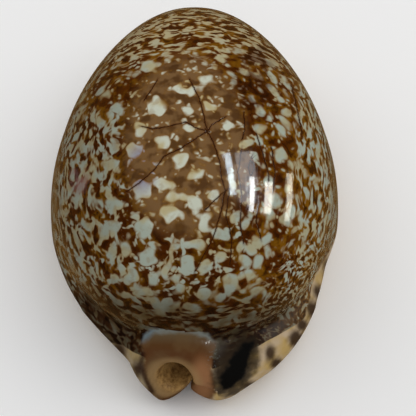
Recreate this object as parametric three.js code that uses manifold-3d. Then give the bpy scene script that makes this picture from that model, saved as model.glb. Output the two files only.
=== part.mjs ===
// A cowrie shell in one piece, in millimetres: +Z up, resting on its base, posterior end towards -Y,
// outer lip towards +X. The origin is the middle of the base, on the surface it rests on.
import * as THREE from "three";
import { mergeVertices } from "three/addons/utils/BufferGeometryUtils.js";
import Module from "manifold-3d";

// Driving dimensions
const SHELL_LENGTH = 68;
const SHELL_WIDTH = 45.8;
const SHELL_HEIGHT = 35;
const DOME_WALL = 2.1;
const LIP_THICKNESS = 6.2;
const TEETH_PER_LIP = 27;
const TOOTH_DEPTH = 0.55;

// The domed back: an egg whose narrow end is the anterior one
const DOME = {
  centre: [0, -2, 14.5],
  halfWidth: SHELL_WIDTH / 2,
  posterior: 26.4,
  anterior: 35.1,
  up: SHELL_HEIGHT - 14.5,
  down: 14,
  anteriorTaper: 0.165,
  anteriorDrop: 2.5,
  roundness: 2.1,
};

// The thick rounded edge round the base
const MARGIN = {
  radius: 5.2,
  halfWidth: 22.6,
  posterior: SHELL_LENGTH / 2,
  anterior: 32.5,
  roundness: 2.25,
  leftNarrowing: 0.3,
  endRise: 0.8,
  sideRise: 1.1,
};

// The callus ridge that arches over the posterior canal: x, y, z and the ridge's own radius
const POSTERIOR_ARCH = [
  [-4.6, -31.5, 2.8, 2.6],
  [-7.0, -30.2, 5.4, 2.2],
  [-8.0, -28.7, 9.0, 2.0],
  [-6.2, -28.1, 11.7, 2.2],
  [-2.8, -28.1, 12.5, 2.6],
  [0.8, -28.5, 11.4, 2.9],
  [2.7, -29.9, 7.6, 3.3],
  [3.7, -30.5, 4.0, 3.5],
];
const ARCH_STEPS = 5;

// The two short beaks at the anterior end
const ANTERIOR_BEAKS = [
  { centre: [4.6, 28.4, 5.4], size: [6.0, 6.4, 5.4] },
  { centre: [-4.0, 28.0, 5.4], size: [5.8, 6.4, 5.4] },
];

// The hollow inside, and the straight funnel of the posterior canal
const HOLLOW = {
  centre: [0.2, -0.8, 15.5],
  halfWidth: 20.6,
  posterior: 24.4,
  anterior: 29.2,
  anteriorTaper: 0.18,
  anteriorDrop: 3,
  roofRoundness: 2.1,
  floorRoundness: 3.2,
};
const CANAL = { inner: [1.4, -19.5, 3.6], outer: [-4.1, -37.5, 8.9], innerRadius: 1.3, outerRadius: 3.7 };

// The slot between the lips
const SLOT = {
  bow: 2.2,
  half: 1.25,
  anteriorWiden: 0.55,
  posteriorNarrow: 0.65,
  anteriorFlare: 1.4,
  posteriorFlare: 3.0,
  reach: SHELL_LENGTH / 2 + 3,
  roof: 7.8,
};
const TOOTH_POINTS = 4;

const SPHERE_COLUMNS = 80;
const SPHERE_ROWS = 46;
const SHORTEST_EDGE = 0.05;
const MIDLINE = { half: 18, height: 4.5, wide: 21, tall: 24, low: 5.5, deep: 15 };

const clamp = THREE.MathUtils.clamp;

// 0 before a, 1 after b, smooth between; a may be the larger
function ease(a, b, t) {
  const u = clamp((t - a) / (b - a), 0, 1);
  return u * u * (3 - 2 * u);
}

// The nearer of two surfaces, with their junction filled to a fillet of size k
function blend(a, b, k) {
  const h = clamp(0.5 + (0.5 * (b - a)) / k, 0, 1);
  return b + (a - b) * h - k * h * (1 - h);
}

// Distance to a rounded body along the ray from its centre, given how far out of it the point is
function alongRay(x, y, z, reach) {
  const length = Math.hypot(x, y, z);
  return length - length / (reach + 1e-9);
}

function domeDistance(p) {
  const [cx, cy, cz] = DOME.centre;
  const anterior = p.y > cy;
  const t = Math.abs(p.y - cy) / (anterior ? DOME.anterior : DOME.posterior);
  const taper = anterior ? DOME.anteriorTaper * Math.min(t, 2) ** 1.8 : 0;
  const axis = cz - (anterior ? DOME.anteriorDrop * Math.min(t, 1.1) ** 2 : 0);
  const n = DOME.roundness;
  const across = Math.abs((p.x - cx) / (DOME.halfWidth * (1 - taper))) ** n;
  const along = t ** (anterior ? 1.9 : 2.2);
  const high = Math.abs((p.z - axis) / (p.z > axis ? DOME.up : DOME.down)) ** n;
  return alongRay(p.x - cx, p.y - cy, p.z - cz, (across + along + high) ** (1 / n));
}

function marginDistance(p) {
  const s = p.y / (p.y > 0 ? MARGIN.anterior : MARGIN.posterior);
  const narrowing = p.x > 0 ? 0 : MARGIN.leftNarrowing * ease(-0.4, -0.95, s);
  const half = MARGIN.halfWidth * (1 - narrowing - 0.06 * clamp(s, 0, 1) ** 2);
  const n = MARGIN.roundness;
  const reach = (Math.abs(p.x / half) ** n + Math.abs(s) ** n) ** (1 / n);
  const flat = alongRay(p.x, p.y, 0, reach) + MARGIN.radius;
  const rise = MARGIN.sideRise * ease(0.35, 1, Math.abs(p.x) / MARGIN.halfWidth);
  const middle = MARGIN.radius + MARGIN.endRise * ease(0.55, 1, Math.abs(s)) + rise;
  const tall = Math.abs(p.z - middle) - 0.2;
  const away = Math.hypot(Math.max(flat, 0), Math.max(tall, 0));
  return Math.min(Math.max(flat, tall), 0) + away - MARGIN.radius;
}

// The ridge as a chain of round cones, so that its radius can change along it
function ridge(points, steps) {
  const stations = points.map(([x, y, z]) => new THREE.Vector3(x, y, z));
  const route = new THREE.CatmullRomCurve3(stations, false, "catmullrom");
  const count = (points.length - 1) * steps;
  return Array.from({ length: count + 1 }, (_, i) => {
    const at = (i / count) * (points.length - 1);
    const k = Math.min(Math.floor(at), points.length - 2);
    const radius = THREE.MathUtils.lerp(points[k][3], points[k + 1][3], at - k);
    return { centre: route.getPoint(i / count), radius };
  });
}
const ARCH = ridge(POSTERIOR_ARCH, ARCH_STEPS);

function archDistance(p) {
  let nearest = Infinity;
  for (let i = 1; i < ARCH.length; i++) {
    const [a, b] = [ARCH[i - 1], ARCH[i]];
    const line = new THREE.Line3(a.centre, b.centre);
    const t = line.closestPointToPointParameter(p, true);
    const foot = line.at(t, new THREE.Vector3());
    nearest = Math.min(nearest, foot.distanceTo(p) - THREE.MathUtils.lerp(a.radius, b.radius, t));
  }
  return nearest;
}

function beakDistance(p) {
  const [right, left] = ANTERIOR_BEAKS.map(({ centre: [cx, cy, cz], size: [a, b, c] }) => {
    const [dx, dy, dz] = [p.x - cx, p.y - cy, p.z - cz];
    const powers = Math.abs(dx / a) ** 2.1 + Math.abs(dy / b) ** 2.1 + Math.abs(dz / c) ** 2.1;
    return alongRay(dx, dy, dz, powers ** (1 / 2.1));
  });
  return blend(right, left, 2);
}

// The outside of the shell with no opening in it, flat where it rests
function outsideDistance(p) {
  const margin = marginDistance(p);
  const outerLip = ease(4, 16, p.x) * ease(-2, -14, p.y);
  const fillet = 4.5 + 3.5 * Math.min(ease(-22, -8, p.y), 1 - outerLip);
  const body = blend(domeDistance(p), margin, fillet);
  const posterior = blend(archDistance(p), Math.max(margin, 0.3 * (p.y + 20)), 3.5);
  const whole = blend(blend(body, posterior, 2), beakDistance(p), 2.5);
  return -blend(-whole, p.z, 1.2);
}

// A sphere whose points are moved out from a line along the middle of the shell until they lie on its
// surface. Its rows are drawn together towards the posterior end, where the shell has its fine shapes.
function outside() {
  const sphere = new THREE.SphereGeometry(1, SPHERE_COLUMNS, SPHERE_ROWS);
  const position = sphere.getAttribute("position");
  const ray = new THREE.Vector3();
  const start = new THREE.Vector3();
  const p = new THREE.Vector3();
  for (let i = 0; i < position.count; i++) {
    ray.fromBufferAttribute(position, i);
    const polar = Math.acos(clamp(-ray.y, -1, 1));
    const pulled = polar * (0.62 + 0.38 * (polar / Math.PI) ** 1.2);
    const spread = polar > 0 && polar < Math.PI ? Math.sin(pulled) / Math.sin(polar) : 0;
    start.set(0, -MIDLINE.half * Math.cos(pulled), MIDLINE.height);
    const tall = ray.z * spread * (ray.z > 0 ? MIDLINE.tall : MIDLINE.low);
    ray.set(ray.x * spread * MIDLINE.wide, -Math.cos(pulled) * MIDLINE.deep, tall).normalize();
    let near = 0;
    let far = SHELL_LENGTH;
    for (let step = 0; step < 40; step++) {
      const middle = (near + far) / 2;
      if (outsideDistance(p.copy(ray).multiplyScalar(middle).add(start)) < 0) near = middle;
      else far = middle;
    }
    p.copy(ray).multiplyScalar(near).add(start);
    position.setXYZ(i, p.x, p.y, Math.abs(p.z) < 1e-3 ? 0 : p.z);
  }
  return sphere;
}

// The space that the animal lived in: an egg inside the dome, above the rolled lips
function hollow() {
  const [cx, cy, cz] = HOLLOW.centre;
  const sphere = new THREE.SphereGeometry(1, 36, 20);
  const position = sphere.getAttribute("position");
  for (let i = 0; i < position.count; i++) {
    const n = position.getZ(i) > 0 ? HOLLOW.roofRoundness : HOLLOW.floorRoundness;
    const flat = Math.abs(position.getX(i)) ** 2 + Math.abs(position.getY(i)) ** 2;
    const reach = (flat ** (n / 2) + Math.abs(position.getZ(i)) ** n) ** (-1 / n);
    const [x, y, z] = [position.getX(i) * reach, position.getY(i) * reach, position.getZ(i) * reach];
    const length = y > 0 ? HOLLOW.anterior : HOLLOW.posterior;
    const narrow = y > 0 ? y * y : 0;
    const drop = HOLLOW.anteriorDrop * narrow;
    const height = z > 0 ? SHELL_HEIGHT - DOME_WALL - cz : cz - LIP_THICKNESS - drop / 2;
    const across = x * HOLLOW.halfWidth * (1 - HOLLOW.anteriorTaper * narrow);
    position.setXYZ(i, cx + across, cy + y * length, cz - drop + z * height);
  }
  return sphere;
}

function slotCentre(s) {
  return SLOT.bow * (1 - s * s) - 1.1 * ease(-0.45, -1, s);
}

function slotHalf(s) {
  const widened = SLOT.anteriorWiden * ease(-0.2, 0.8, s) + SLOT.anteriorFlare * ease(0.72, 1, s);
  const narrowed = SLOT.posteriorNarrow * ease(-0.6, -0.85, s) - SLOT.posteriorFlare * ease(-0.9, -1.04, s);
  return SLOT.half + widened - narrowed;
}

// The slot seen from below, with rounded teeth along both lips, drawn straight up through them
function slot() {
  const toothed = 0.86 * (SHELL_LENGTH / 2);
  const count = Math.round((TEETH_PER_LIP * TOOTH_POINTS * SLOT.reach) / toothed);
  const edge = (side) =>
    Array.from({ length: count + 1 }, (_, i) => {
      const y = THREE.MathUtils.lerp(-SLOT.reach, SLOT.reach, i / count);
      const s = y / (SHELL_LENGTH / 2);
      const wave = 0.5 - 0.5 * Math.cos((Math.PI * TEETH_PER_LIP * y) / toothed);
      const depth = Math.abs(y) < toothed ? TOOTH_DEPTH * wave : 0;
      return new THREE.Vector2(slotCentre(s) + side * (slotHalf(s) + depth), y);
    });
  const outline = new THREE.Shape([...edge(1), ...edge(-1).reverse()]);
  const settings = { depth: SLOT.roof + 2, bevelEnabled: false };
  return new THREE.ExtrudeGeometry(outline, settings).translate(0, 0, -2);
}

// A funnel between two points
function funnel({ inner, outer, innerRadius, outerRadius }) {
  const [from, to] = [new THREE.Vector3(...inner), new THREE.Vector3(...outer)];
  const direction = to.clone().sub(from);
  const cone = new THREE.CylinderGeometry(outerRadius, innerRadius, direction.length(), 24);
  const turn = new THREE.Quaternion().setFromUnitVectors(new THREE.Vector3(0, 1, 0), direction.normalize());
  return cone.applyQuaternion(turn).translate(...from.add(to).multiplyScalar(0.5));
}

const wasm = await Module();
wasm.setup();

function toSolid(geometry) {
  const bare = new THREE.BufferGeometry().setAttribute("position", geometry.getAttribute("position"));
  if (geometry.index) bare.setIndex(geometry.index);
  const merged = mergeVertices(bare, 1e-4);
  const triVerts = new Uint32Array(merged.index.array);
  const vertProperties = merged.attributes.position.array;
  return new wasm.Manifold(new wasm.Mesh({ numProp: 3, vertProperties, triVerts }));
}

// The solid as a mesh, with the slivers that the cuts leave drawn together to a point
function toGeometry(solid) {
  const { vertProperties, triVerts } = solid.getMesh();
  const count = vertProperties.length / 3;
  const point = (_, i) => new THREE.Vector3().fromArray(vertProperties, 3 * i);
  const points = Array.from({ length: count }, point);
  const keeper = points.map((_, i) => i);
  const find = (i) => {
    while (keeper[i] !== i) i = keeper[i];
    return i;
  };
  const short = [];
  for (let i = 0; i < triVerts.length; i++) {
    const [a, b] = [triVerts[i], triVerts[i % 3 === 2 ? i - 2 : i + 1]];
    const length = points[a].distanceTo(points[b]);
    if (a < b && length < SHORTEST_EDGE) short.push({ a, b, length });
  }
  short.sort((m, n) => m.length - n.length);
  for (const { a, b } of short) {
    const [p, q] = [find(a), find(b)];
    if (p !== q && points[p].distanceTo(points[q]) < SHORTEST_EDGE) keeper[Math.max(p, q)] = Math.min(p, q);
  }
  const triangles = [];
  for (let i = 0; i < triVerts.length; i += 3) {
    const [a, b, c] = [find(triVerts[i]), find(triVerts[i + 1]), find(triVerts[i + 2])];
    if (a !== b && b !== c && c !== a) triangles.push(a, b, c);
  }
  const geometry = new THREE.BufferGeometry().setFromPoints(points);
  geometry.setIndex(triangles);
  geometry.computeVertexNormals();
  return geometry;
}

const openings = [hollow(), slot(), funnel(CANAL)].map(toSolid);
const solid = openings.reduce((left, opening) => left.subtract(opening), toSolid(outside()));

const enamel = new THREE.MeshStandardMaterial({ color: 0x8a6a45, roughness: 0.18, metalness: 0 });
const shell = new THREE.Mesh(toGeometry(solid), enamel);
shell.name = "shell";

const cowrie = new THREE.Group();
cowrie.add(shell);
export default cowrie;
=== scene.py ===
"""A cowrie shell lying on its base, seen from behind and above its posterior end.

The shape is worked out in millimetres: +X towards the outer lip, +Y towards the narrow anterior end,
+Z up, with the origin on the surface under the middle of the base. The mesh is made in metres.
"""

import logging
import math
from dataclasses import dataclass, field
from enum import Enum
from typing import Any, Callable, Sequence, Union

import bpy
import numpy as np
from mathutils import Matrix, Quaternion, Vector


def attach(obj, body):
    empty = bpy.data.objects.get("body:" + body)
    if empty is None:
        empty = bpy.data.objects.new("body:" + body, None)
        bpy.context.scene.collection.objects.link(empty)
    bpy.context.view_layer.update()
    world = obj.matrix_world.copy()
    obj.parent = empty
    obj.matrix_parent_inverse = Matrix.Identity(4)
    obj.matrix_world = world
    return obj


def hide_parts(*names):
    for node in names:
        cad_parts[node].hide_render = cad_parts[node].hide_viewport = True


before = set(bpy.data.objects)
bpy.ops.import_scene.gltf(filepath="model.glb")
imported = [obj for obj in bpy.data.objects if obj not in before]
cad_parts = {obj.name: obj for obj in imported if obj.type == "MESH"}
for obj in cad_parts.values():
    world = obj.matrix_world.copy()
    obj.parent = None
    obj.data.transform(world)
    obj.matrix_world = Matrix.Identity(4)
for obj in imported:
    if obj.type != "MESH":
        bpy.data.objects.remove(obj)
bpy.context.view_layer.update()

LOG = logging.getLogger("cowrie")
Array = np.ndarray
Points = tuple[Array, Array, Array]
Triple = tuple[float, float, float]
Pixel = tuple[float, float]
# An oval is its centre and its half sizes. A span is where something starts and where it is whole.
Oval = tuple[float, float, float, float]
Span = tuple[float, float]
Field = Callable[[Array, Array, Array], Array]

MM = 0.001
TINY = 1e-9
# A distance in millimetres that is far from every mark.
NOWHERE = 9.0


def blend(a: Array, b: Array, k: Union[float, Array]) -> Array:
    """Joins two surfaces and fills their junction.

    Args:
        a: Distances to the first surface.
        b: Distances to the second surface.
        k: Width of the fillet.

    Returns:
        Distances to the joined surface.
    """
    h = np.clip(0.5 + 0.5 * (b - a) / k, 0, 1)
    return b + (a - b) * h - k * h * (1 - h)


def carve(body: Array, opening: Array, k: float) -> Array:
    """Cuts an opening into a body and rounds its edge.

    Args:
        body: Distances to the body.
        opening: Distances to the opening.
        k: Width of the rounding.

    Returns:
        Distances to what is left.
    """
    return -blend(-body, opening, k)


def ease(low: float, high: float, value: Array) -> Array:
    """Rises smoothly from 0 to 1.

    Args:
        low: Where the rise starts, which may be above where it ends.
        high: Where it ends.
        value: The positions to read.

    Returns:
        The heights there.
    """
    u = np.clip((value - low) / (high - low), 0, 1)
    return u * u * (3 - 2 * u)


def along_ray(x: Array, y: Array, z: Array, reach: Array) -> Array:
    """Turns how far out of a rounded body a point is into a distance along its ray.

    Args:
        x: Offsets from the body's centre.
        y: Offsets from the body's centre.
        z: Offsets from the body's centre.
        reach: 1 on the body's surface, less inside it.

    Returns:
        Distances in millimetres.
    """
    length = np.sqrt(x * x + y * y + z * z)
    return length - length / (reach + TINY)


@dataclass(frozen=True)
class Dome:
    """The domed back: an egg whose narrow end is the anterior one."""

    centre: Triple = (0.0, -2.0, 14.5)
    half_width: float = 22.9
    posterior: float = 26.4
    anterior: float = 35.1
    up: float = 20.5
    down: float = 14.0
    taper: float = 0.165
    drop: float = 2.5
    roundness: float = 2.1
    taper_power: float = 1.8
    anterior_power: float = 1.9
    posterior_power: float = 2.2
    taper_limit: float = 2.0
    drop_limit: float = 1.1

    def distance(self, x: Array, y: Array, z: Array) -> Array:
        """Distances to the dome.

        Args:
            x: Positions across.
            y: Positions along.
            z: Heights.

        Returns:
            Distances in millimetres.
        """
        cx, cy, cz = self.centre
        front = y > cy
        t = np.abs(y - cy) / np.where(front, self.anterior, self.posterior)
        ahead = np.where(front, t, 0)
        wide = self.half_width * (1 - self.taper * np.clip(ahead, 0, self.taper_limit) ** self.taper_power)
        axis = cz - self.drop * np.clip(ahead, 0, self.drop_limit) ** 2
        tall = np.where(z > axis, self.up, self.down)
        n = self.roundness
        along = np.where(front, t**self.anterior_power, t**self.posterior_power)
        total = np.abs((x - cx) / wide) ** n + along + np.abs((z - axis) / tall) ** n
        return along_ray(x - cx, y - cy, z - cz, total ** (1 / n))


@dataclass(frozen=True)
class Margin:
    """The thick rounded edge that runs round the base."""

    radius: float = 5.2
    half_width: float = 22.6
    posterior: float = 34.0
    anterior: float = 32.5
    roundness: float = 2.25
    half_flat: float = 0.2
    left_narrowing: float = 0.30
    left_narrows: Span = (-0.4, -0.95)
    anterior_narrowing: float = 0.06
    end_rise: float = 0.8
    end_rises: Span = (0.55, 1.0)
    side_rise: float = 1.1
    side_rises: Span = (0.35, 1.0)

    def distance(self, x: Array, y: Array, z: Array) -> Array:
        """Distances to the rounded edge.

        Args:
            x: Positions across.
            y: Positions along.
            z: Heights.

        Returns:
            Distances in millimetres.
        """
        s = y / np.where(y > 0, self.anterior, self.posterior)
        narrowing = np.where(x > 0, 0, self.left_narrowing * ease(*self.left_narrows, s))
        half = self.half_width * (1 - narrowing - self.anterior_narrowing * np.clip(s, 0, 1) ** 2)
        n = self.roundness
        reach = (np.abs(x / half) ** n + np.abs(s) ** n) ** (1 / n)
        flat = along_ray(x, y, 0 * z, reach) + self.radius
        rise = self.end_rise * ease(*self.end_rises, np.abs(s))
        rise = rise + self.side_rise * ease(*self.side_rises, np.abs(x) / self.half_width)
        tall = np.abs(z - self.radius - rise) - self.half_flat
        outside = np.hypot(np.maximum(flat, 0), np.maximum(tall, 0))
        return np.minimum(np.maximum(flat, tall), 0) + outside - self.radius


@dataclass(frozen=True)
class Ridge:
    """A smooth ridge whose radius changes along it, given by stations of x, y, z and radius."""

    stations: tuple[tuple[float, float, float, float], ...]
    steps: int = 5

    def route(self) -> Array:
        """Joins the stations by a smooth curve.

        Returns:
            One row of x, y, z and radius for each step.
        """
        p = np.array(self.stations, float)
        p = np.vstack([2 * p[0] - p[1], p, 2 * p[-1] - p[-2]])
        rows = []
        for a, b, c, d in zip(p[:-3], p[1:-2], p[2:-1], p[3:]):
            for t in np.arange(self.steps) / self.steps:
                bend = (2 * a - 5 * b + 4 * c - d) * t * t + (3 * b - a - 3 * c + d) * t**3
                rows.append(0.5 * (2 * b + (c - a) * t + bend))
        return np.array(rows + [p[-2]])

    def distance(self, x: Array, y: Array, z: Array) -> Array:
        """Distances to the ridge.

        Args:
            x: Positions across.
            y: Positions along.
            z: Heights.

        Returns:
            Distances in millimetres.
        """
        route = self.route()
        best = np.full(np.shape(x), np.inf)
        for a, b in zip(route[:-1], route[1:]):
            d = b[:3] - a[:3]
            t = ((x - a[0]) * d[0] + (y - a[1]) * d[1] + (z - a[2]) * d[2]) / (d @ d)
            t = np.clip(t, 0, 1)
            away = (x - a[0] - t * d[0]) ** 2 + (y - a[1] - t * d[1]) ** 2 + (z - a[2] - t * d[2]) ** 2
            best = np.minimum(best, np.sqrt(away) - a[3] - t * (b[3] - a[3]))
        return best


@dataclass(frozen=True)
class Beaks:
    """The two short beaks at the anterior end, on either side of the notch."""

    right: Triple = (4.6, 28.4, 5.4)
    left: Triple = (-4.0, 28.0, 5.4)
    size: Triple = (5.9, 6.4, 5.4)
    roundness: float = 2.1
    fillet: float = 2.0

    def distance(self, x: Array, y: Array, z: Array) -> Array:
        """Distances to the two beaks.

        Args:
            x: Positions across.
            y: Positions along.
            z: Heights.

        Returns:
            Distances in millimetres.
        """
        found = []
        for cx, cy, cz in (self.right, self.left):
            dx, dy, dz = x - cx, y - cy, z - cz
            a, b, c = self.size
            n = self.roundness
            reach = (np.abs(dx / a) ** n + np.abs(dy / b) ** n + np.abs(dz / c) ** n) ** (1 / n)
            found.append(along_ray(dx, dy, dz, reach))
        return blend(found[0], found[1], self.fillet)


@dataclass(frozen=True)
class Hollow:
    """The space inside, which the animal lived in."""

    centre: Triple = (0.2, -0.8, 15.5)
    half_width: float = 20.6
    posterior: float = 24.4
    anterior: float = 29.2
    up: float = 17.4
    down: float = 9.3
    taper: float = 0.18
    drop: float = 3.0
    taper_limit: float = 1.2
    drop_limit: float = 1.1
    floor_rise: float = 0.5
    roundness_up: float = 2.1
    roundness_down: float = 3.2

    def distance(self, x: Array, y: Array, z: Array) -> Array:
        """Distances to the hollow.

        Args:
            x: Positions across.
            y: Positions along.
            z: Heights.

        Returns:
            Distances in millimetres.
        """
        cx, cy, cz = self.centre
        front = y > cy
        t = np.abs(y - cy) / np.where(front, self.anterior, self.posterior)
        wide = self.half_width * (1 - np.where(front, self.taper * np.clip(t, 0, self.taper_limit) ** 2, 0))
        axis = cz - np.where(front, self.drop * np.clip(t, 0, self.drop_limit) ** 2, 0)
        flat = ((x - cx) / wide) ** 2 + t**2
        above = z > axis
        n = np.where(above, self.roundness_up, self.roundness_down)
        down = self.down - self.drop * self.floor_rise * np.clip(t, 0, 1)
        tall = np.abs((z - axis) / np.where(above, self.up, down))
        reach = (flat ** (n / 2) + tall**n) ** (1 / n)
        return along_ray(x - cx, y - cy, z - cz, reach)


@dataclass(frozen=True)
class Slot:
    """The slot between the lips, with a row of teeth along each."""

    half_length: float = 34.0
    bow: float = 2.2
    turn: float = 1.1
    turns: Span = (-0.45, -1.0)
    half: float = 1.35
    widening: float = 0.55
    widens: Span = (-0.2, 0.8)
    pinch: float = 0.95
    pinches: Span = (-0.6, -0.85)
    notch: float = 1.4
    notches: Span = (0.72, 1.0)
    flare: float = 4.6
    flare_aside: float = -0.3
    flares: Span = (-0.93, -1.06)
    roof: float = 7.4
    lean: float = 0.34
    lean_height: float = 3.0
    leans: Span = (-0.55, -0.85)
    tooth_pitch: float = 2.17
    tooth_slant: float = 0.22
    crest_power: float = 1.6
    toothed_half_length: float = 29.5
    toothed_fade: float = 3.0
    groove: float = 0.55
    groove_fades: Span = (1.0, 0.35)
    groove_heights: Span = (6.4, 4.6)
    outer_reach: float = 5.4
    inner_reach: float = 3.2

    def centre(self, y: Array) -> Array:
        """Where the middle of the slot is.

        Args:
            y: Positions along.

        Returns:
            Positions across.
        """
        s = y / self.half_length
        bowed = self.bow * (1 - s * s) - self.turn * ease(*self.turns, s)
        return bowed - self.flare_aside * ease(*self.flares, s)

    def distance(self, x: Array, y: Array, z: Array) -> Array:
        """Distances to the slot.

        Args:
            x: Positions across.
            y: Positions along.
            z: Heights.

        Returns:
            Distances in millimetres.
        """
        s = y / self.half_length
        half = self.half + self.widening * ease(*self.widens, s) - self.pinch * ease(*self.pinches, s)
        half = half + self.notch * ease(*self.notches, s)
        half = half + self.flare * ease(*self.flares, s)
        above = np.maximum(z - (self.roof - half), 0)
        leaning = self.lean * (z - self.lean_height) * ease(*self.leans, s)
        return np.hypot(x - self.centre(y) - leaning, above) - half

    def grooves(self, x: Array, y: Array, z: Array) -> Array:
        """How deep the grooves between the teeth are cut.

        Args:
            x: Positions across.
            y: Positions along.
            z: Heights.

        Returns:
            Depths in millimetres, 0 along the crests and away from the lips.
        """
        side = x - self.centre(y)
        slant = y + self.tooth_slant * np.abs(side)
        wave = 0.5 + 0.5 * np.cos(2 * math.pi * slant / self.tooth_pitch)
        reach = np.where(side > 0, self.outer_reach, self.inner_reach)
        across = ease(*self.groove_fades, (np.abs(side) - self.half) / reach)
        along = ease(self.toothed_half_length, self.toothed_half_length - self.toothed_fade, np.abs(y))
        deep = ease(*self.groove_heights, z)
        return self.groove * (1 - wave**self.crest_power) * across * along * deep


@dataclass(frozen=True)
class ShellForm:
    """The whole shape of the shell as one field of distances."""

    dome: Dome = Dome()
    margin: Margin = Margin()
    beaks: Beaks = Beaks()
    hollow: Hollow = Hollow()
    slot: Slot = Slot()
    arch: Ridge = Ridge(
        (
            (-4.6, -31.5, 2.8, 2.6),
            (-7.0, -30.2, 5.4, 2.2),
            (-8.0, -28.7, 9.0, 2.0),
            (-6.2, -28.1, 11.7, 2.2),
            (-2.8, -28.1, 12.5, 2.6),
            (0.8, -28.5, 11.4, 2.9),
            (2.7, -29.9, 7.6, 3.3),
            (3.7, -30.5, 4.0, 3.5),
        )
    )
    canal: Ridge = Ridge(
        (
            (0.2, -24.6, 4.4, 1.1),
            (-1.4, -28.2, 6.2, 1.9),
            (-2.8, -31.6, 7.5, 2.6),
            (-4.0, -37.0, 8.8, 3.6),
        )
    )

    arch_zone: Triple = (20.0, -12.0, 24.0)
    beyond_arch: tuple[float, float] = (-14.0, 6.0)
    posterior_fillet: float = 2.5
    fillet_growth: float = 5.5
    fillet_grows: Span = (-22.0, -8.0)
    right_sharpening: float = 3.5
    right_sharpens: Span = (0.0, 16.0)
    right_sharpens_behind: Span = (-6.0, -14.0)
    least_fillet: float = 1.5
    lobe_fade: float = 0.3
    lobes_end: float = -20.0
    arch_fillet: float = 3.5
    arch_join: float = 1.0
    beak_fillet: float = 2.5
    base_rounding: float = 1.2
    slot_fillet: float = 2.0
    canal_fillet: float = 0.8
    lip_rounding: float = 1.6

    def near_arch(self, x: Array, y: Array, z: Array) -> Array:
        """Distances to the arch, worked out only where it can matter.

        Args:
            x: Positions across.
            y: Positions along.
            z: Heights.

        Returns:
            Distances in millimetres, large and rough far from the arch.
        """
        start, least = self.beyond_arch
        half_width, end, top = self.arch_zone
        far = np.asarray(np.maximum(y - start, least) + 0 * x + 0 * z, float)
        close = (y < end) & (np.abs(x) < half_width) & (z < top)
        far[close] = self.arch.distance(x[close], y[close], z[close])
        return far

    def outside(self, x: Array, y: Array, z: Array) -> Array:
        """Distances to the outside of the shell with no opening in it.

        Args:
            x: Positions across.
            y: Positions along.
            z: Heights.

        Returns:
            Distances in millimetres.
        """
        margin = self.margin.distance(x, y, z)
        fillet = self.posterior_fillet + self.fillet_growth * ease(*self.fillet_grows, y)
        sharper = ease(*self.right_sharpens, x) * ease(*self.right_sharpens_behind, y)
        fillet = np.maximum(fillet - self.right_sharpening * sharper, self.least_fillet)
        body = blend(self.dome.distance(x, y, z), margin, fillet)
        lobes = np.maximum(margin, self.lobe_fade * (y - self.lobes_end))
        posterior = blend(self.near_arch(x, y, z), lobes, self.arch_fillet)
        body = blend(body, posterior, self.arch_join)
        body = blend(body, self.beaks.distance(x, y, z), self.beak_fillet)
        return carve(body, z, self.base_rounding)

    def openings(self, x: Array, y: Array, z: Array) -> Array:
        """Distances to the hollow, the slot and the posterior canal together.

        Args:
            x: Positions across.
            y: Positions along.
            z: Heights.

        Returns:
            Distances in millimetres.
        """
        inner = blend(self.hollow.distance(x, y, z), self.slot.distance(x, y, z), self.slot_fillet)
        return blend(inner, self.canal.distance(x, y, z), self.canal_fillet)

    def distance(self, x: Array, y: Array, z: Array) -> Array:
        """Distances to the finished shell.

        Args:
            x: Positions across.
            y: Positions along.
            z: Heights.

        Returns:
            Distances in millimetres, negative in the wall.
        """
        wall = carve(self.outside(x, y, z), self.openings(x, y, z), self.lip_rounding)
        return wall + self.slot.grooves(x, y, z)


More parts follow.
